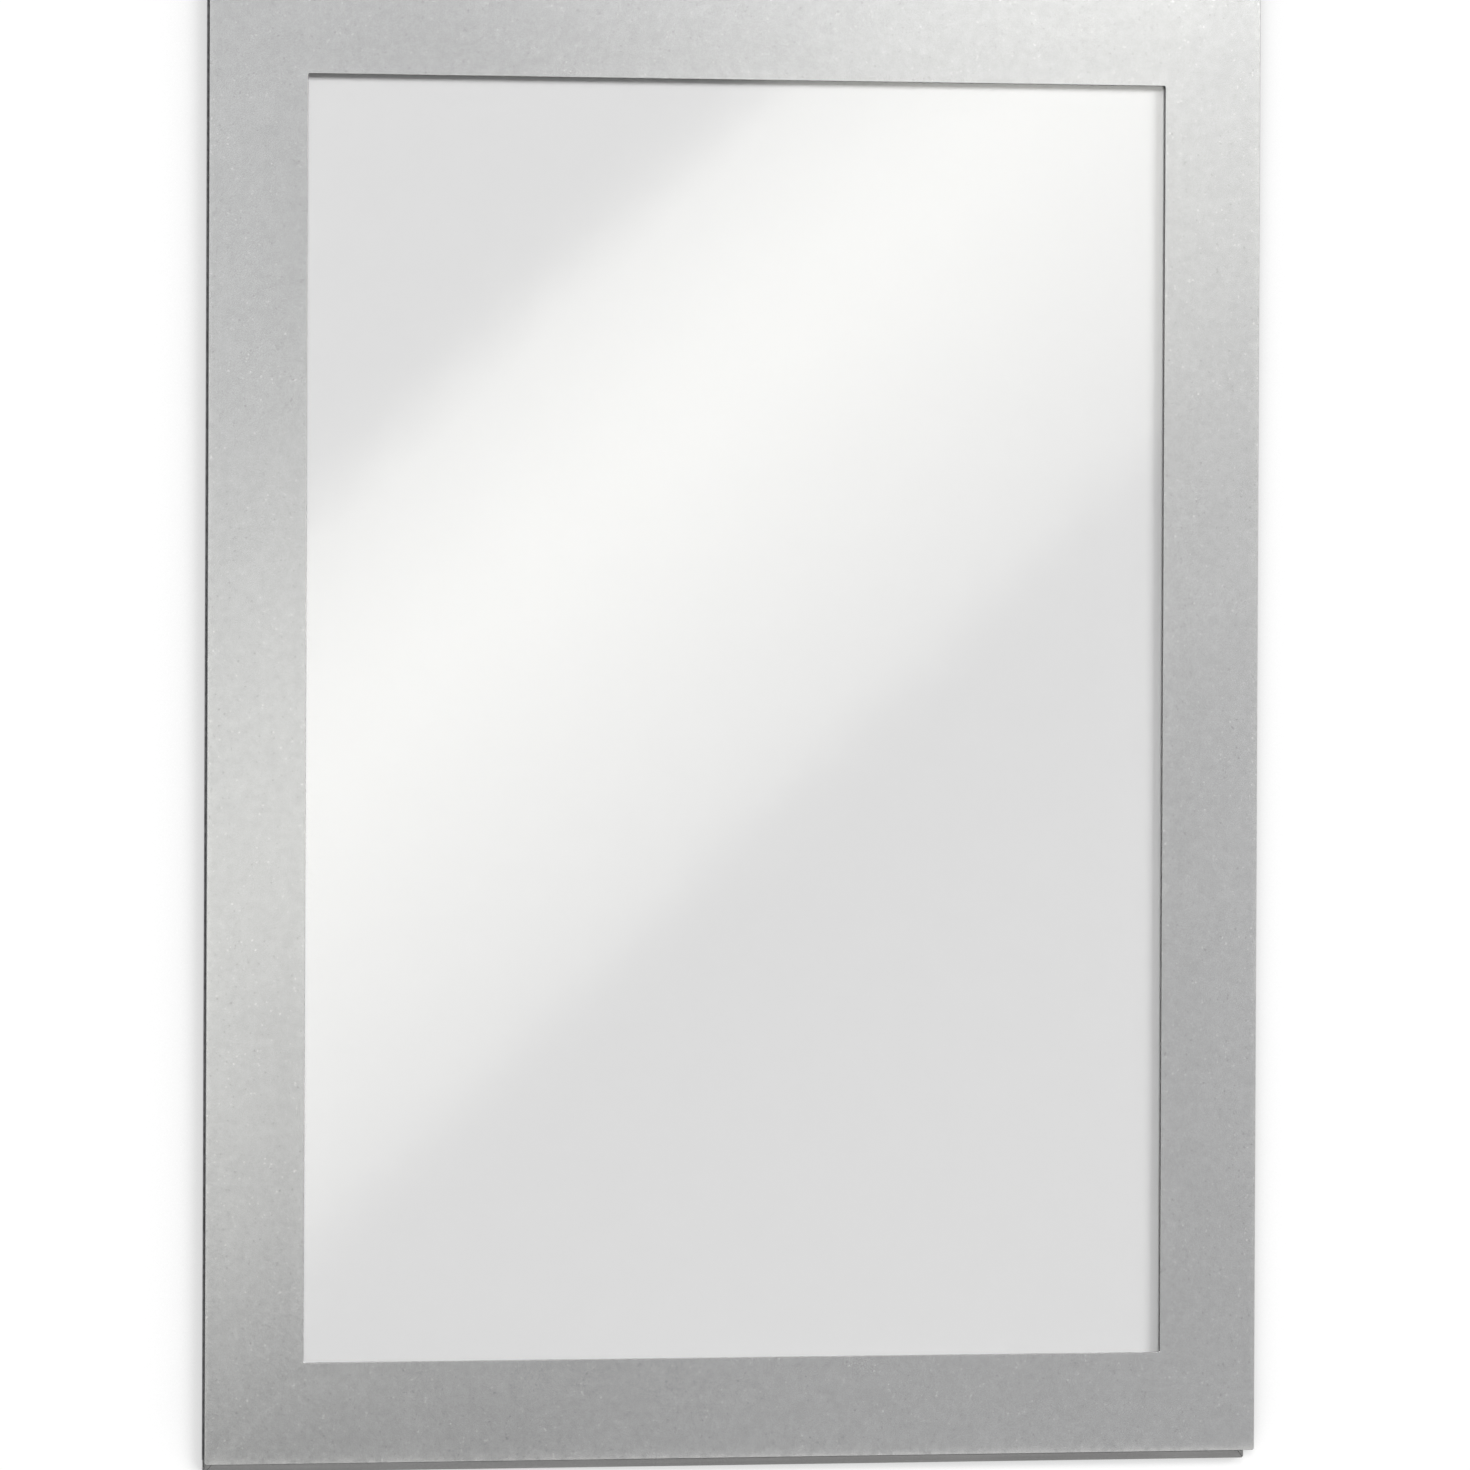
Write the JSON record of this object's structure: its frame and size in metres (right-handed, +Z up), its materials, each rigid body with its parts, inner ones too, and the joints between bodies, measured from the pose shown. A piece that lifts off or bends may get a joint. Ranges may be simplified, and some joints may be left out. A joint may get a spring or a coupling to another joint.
{
  "type": "magnetic photo frame",
  "caption": "Thin portrait frame that sticks to steel by its magnetic back: a silver border with a clear window swings open on a film hinge so that a print can be changed.",
  "frame": {"origin": "on the back face, at the middle of the print tray", "axes": "+Z up along the long side, +X to the right seen from the front, +Y into the wall"},
  "size_m": [0.1743, 0.0017, 0.2372],
  "materials": {
    "silver_film": "satin",
    "clear_film": "gloss",
    "magnet_rubber": "matte",
    "bond_tape": "satin",
    "hinge_film": "satin",
    "print_paper": "matte"
  },
  "bodies": {
    "back_panel": {"back_sheet": "clear_film", "rear_tape_top": "bond_tape", "rear_tape_bottom": "bond_tape", "rear_tape_left": "bond_tape", "rear_tape_right": "bond_tape", "rear_magnet_top": "magnet_rubber", "rear_magnet_bottom": "magnet_rubber", "rear_magnet_left": "magnet_rubber", "rear_magnet_right": "magnet_rubber", "print_sheet": "print_paper", "hinge_tape": "hinge_film"},
    "front_frame": {"window_film": "clear_film", "front_tape_top": "bond_tape", "front_tape_bottom": "bond_tape", "front_tape_left": "bond_tape", "front_tape_right": "bond_tape", "front_magnet_top": "magnet_rubber", "front_magnet_bottom": "magnet_rubber", "front_magnet_left": "magnet_rubber", "front_magnet_right": "magnet_rubber", "face_film": "silver_film"}
  },
  "joints": [
    {"name": "front_swing", "type": "hinge", "parent": "back_panel", "child": "front_frame", "pos_m": [-0.08715, -0.00089, 0], "axis": [0, 0, -1], "range_deg": [0, 180], "deforming": ["hinge_tape"]}
  ]
}
